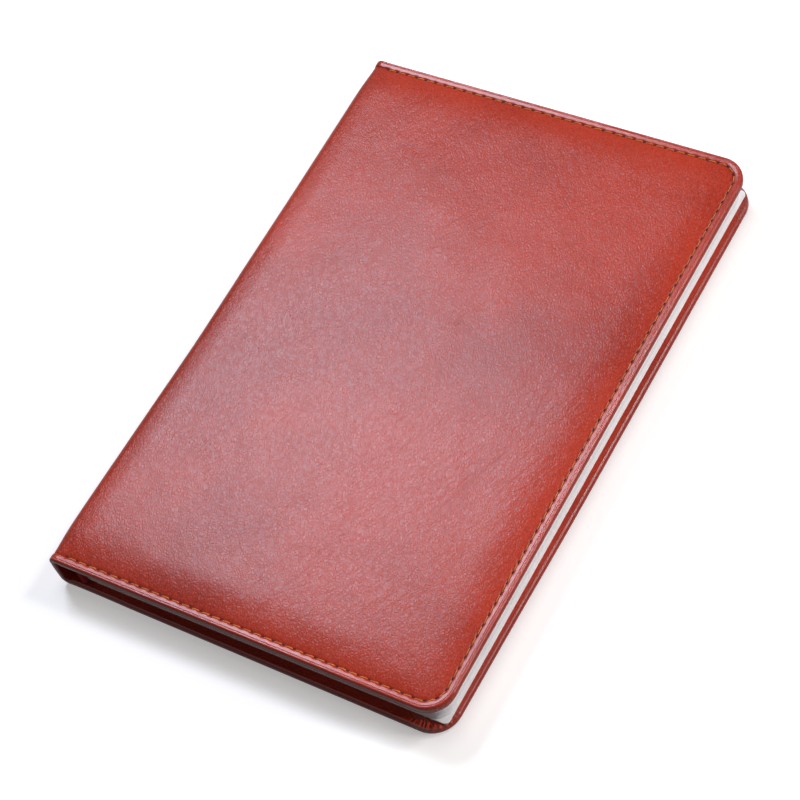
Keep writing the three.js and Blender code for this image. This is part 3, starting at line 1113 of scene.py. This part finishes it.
def add_softbox(name, place, size, watts, colour, mirrored):
    bpy.ops.object.light_add(type="AREA", location=place)
    lamp = bpy.context.object
    lamp.name = name
    lamp.data.shape = "RECTANGLE"
    lamp.data.size, lamp.data.size_y = size
    lamp.data.energy = watts
    lamp.data.color = colour
    lamp.visible_glossy = mirrored
    lamp.rotation_euler = (-Vector(place)).to_track_quat("-Z", "Y").to_euler()


def seen_mix(unseen, seen):
    """One shader for what the camera and, less, reflections see, another for the light it gives"""
    camera = seen.node("ShaderNodeLightPath", output="Is Camera Ray")
    glossy = seen.node("ShaderNodeLightPath", output="Is Glossy Ray")
    through = seen.node("ShaderNodeLightPath", output="Is Transmission Ray")
    share = camera.most(glossy * MIRRORED_SHARE).most(through)
    return seen.node("ShaderNodeMixShader", {}, {0: share, 1: unseen, 2: seen})


def floor_material(name):
    """White and evenly lit for the camera, with a real shadow near the notebook"""
    material, shader, place = new_material(name)
    reach = place.node("ShaderNodeVectorMath", {"operation": "LENGTH"}, {0: place}, output=1)
    link(
        shader, Base_Color=place.noise(3.0).mix(*FLOOR_TINTS),
        Emission_Color=reach.ease(*GLOW_REACH).mix(*FLOOR_GLOW),
    )
    shader.inputs["Emission Strength"].default_value = 1.0
    shader.inputs["Roughness"].default_value = 0.9
    shader.inputs["Specular IOR Level"].default_value = 0.0
    dim = place.node("ShaderNodeBsdfDiffuse", {}, {"Color": FLOOR_LIGHT})
    mixed = seen_mix(dim, Wire(dim.tree, shader.outputs[0]))
    dim.tree.links.new(mixed.socket, dim.tree.nodes["Material Output"].inputs[0])
    return material


class NotebookStage(bpy.types.Operator):
    """Adds the floor, the soft light and the photograph's camera"""

    bl_idname = "notebook.stage"
    bl_label = "Stage"

    def execute(self, context):
        add_camera()
        deselect_all()
        bpy.ops.mesh.primitive_plane_add(size=FLOOR_WIDTH)
        floor = bpy.context.object
        floor.name = "floor"
        floor.data.materials.append(material_of("white_floor", floor_material))
        world = bpy.data.worlds.new("studio")
        context.scene.world = world
        world.use_nodes = True
        tree = world.node_tree
        room = Wire(tree).node("ShaderNodeBackground", {}, ROOM_LIGHT)
        wall = Wire(tree).node("ShaderNodeBackground", {}, WALL)
        tree.links.new(seen_mix(room, wall).socket, tree.nodes["World Output"].inputs[0])
        for lamp in LAMPS:
            add_softbox(*lamp)
        context.scene.view_settings.view_transform = "Standard"
        return {"FINISHED"}


class NotebookCovers(bpy.types.Operator):
    """Adds the padded leather of both covers, the joints and the spine"""

    bl_idname = "notebook.covers"
    bl_label = "Covers and spine"

    def execute(self, context):
        front_skin()
        spine_skin()
        back_skin()
        return {"FINISHED"}


class NotebookStitches(bpy.types.Operator):
    """Adds the stitches and their holes along both covers"""

    bl_idname = "notebook.stitches"
    bl_label = "Stitches"

    def execute(self, context):
        stitches(True)
        stitches(False)
        return {"FINISHED"}


class NotebookFilling(bpy.types.Operator):
    """Adds the foam and dresses the boards and the card inside the case"""

    bl_idname = "notebook.filling"
    bl_label = "Foam and boards"

    def execute(self, context):
        foam_pad("front")
        foam_pad("back")
        board = material_of(
            "grey_board", speckled_material, (0.20, 0.18, 0.155), (0.34, 0.31, 0.27), 700.0,
        )
        for node in ("front_board", "back_board", "spine_card"):
            dress_node(node, board)
        return {"FINISHED"}


class NotebookPages(bpy.types.Operator):
    """Adds the sections, the flyleaves and the sheets pasted to the covers"""

    bl_idname = "notebook.pages"
    bl_label = "Pages"

    def execute(self, context):
        round_corner = corner_bend(SQUARE)
        for node in ["section_%d" % number for number in range(1, 9)] + ["front_flyleaf"]:
            page_piece(node, round_corner, node)
        sharp_corner = 1.6 * MM
        for node in ("rear_flyleaf", "back_pastedown"):
            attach(page_piece(node, sharp_corner), "back_cover")
        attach(page_piece("front_pastedown", sharp_corner), "front_cover")
        return {"FINISHED"}


class NotebookBinding(bpy.types.Operator):
    """Adds the gauze, the paper and the woven bands at the spine of the block"""

    bl_idname = "notebook.binding"
    bl_label = "Spine of the block"

    def execute(self, context):
        rows = 2 * math.pi / (0.9 * MM)
        gauze = speckled_material("gauze", (0.50, 0.47, 0.40), (0.80, 0.77, 0.70), 3000.0, rows)
        kraft = speckled_material("kraft", (0.26, 0.16, 0.08), (0.46, 0.31, 0.17), 900.0)
        spine_lining("mull", gauze)
        spine_lining("liner", kraft)
        end_band("headband")
        end_band("tailband")
        return {"FINISHED"}


class NotebookPanel(bpy.types.Panel):
    """The notebook's sizes, colours and pieces"""

    bl_idname = "VIEW3D_PT_notebook"
    bl_label = "Leather notebook"
    bl_space_type = "VIEW_3D"
    bl_region_type = "UI"
    bl_category = "Notebook"

    def draw(self, context):
        scene = context.scene
        for group in (scene.notebook_leather, scene.notebook_seam, scene.notebook_paper):
            box = self.layout.box()
            for name in type(group).__annotations__:
                box.prop(group, name)
        for operator in OPERATORS:
            self.layout.operator(operator.bl_idname)


GROUPS = (NotebookLeather, NotebookSeam, NotebookPaper)
OPERATORS = (
    NotebookStage, NotebookCovers, NotebookStitches, NotebookFilling, NotebookPages, NotebookBinding,
)


def register():
    for made in (*GROUPS, *OPERATORS, NotebookPanel):
        bpy.utils.register_class(made)
    bpy.types.Scene.notebook_leather = bpy.props.PointerProperty(type=NotebookLeather)
    bpy.types.Scene.notebook_seam = bpy.props.PointerProperty(type=NotebookSeam)
    bpy.types.Scene.notebook_paper = bpy.props.PointerProperty(type=NotebookPaper)


def unregister():
    del bpy.types.Scene.notebook_paper
    del bpy.types.Scene.notebook_seam
    del bpy.types.Scene.notebook_leather
    for made in (NotebookPanel, *reversed(OPERATORS), *reversed(GROUPS)):
        bpy.utils.unregister_class(made)


def main():
    register()
    bpy.ops.notebook.stage()
    bpy.ops.notebook.covers()
    bpy.ops.notebook.stitches()
    bpy.ops.notebook.filling()
    bpy.ops.notebook.pages()
    bpy.ops.notebook.binding()


if __name__ == "__main__":
    main()
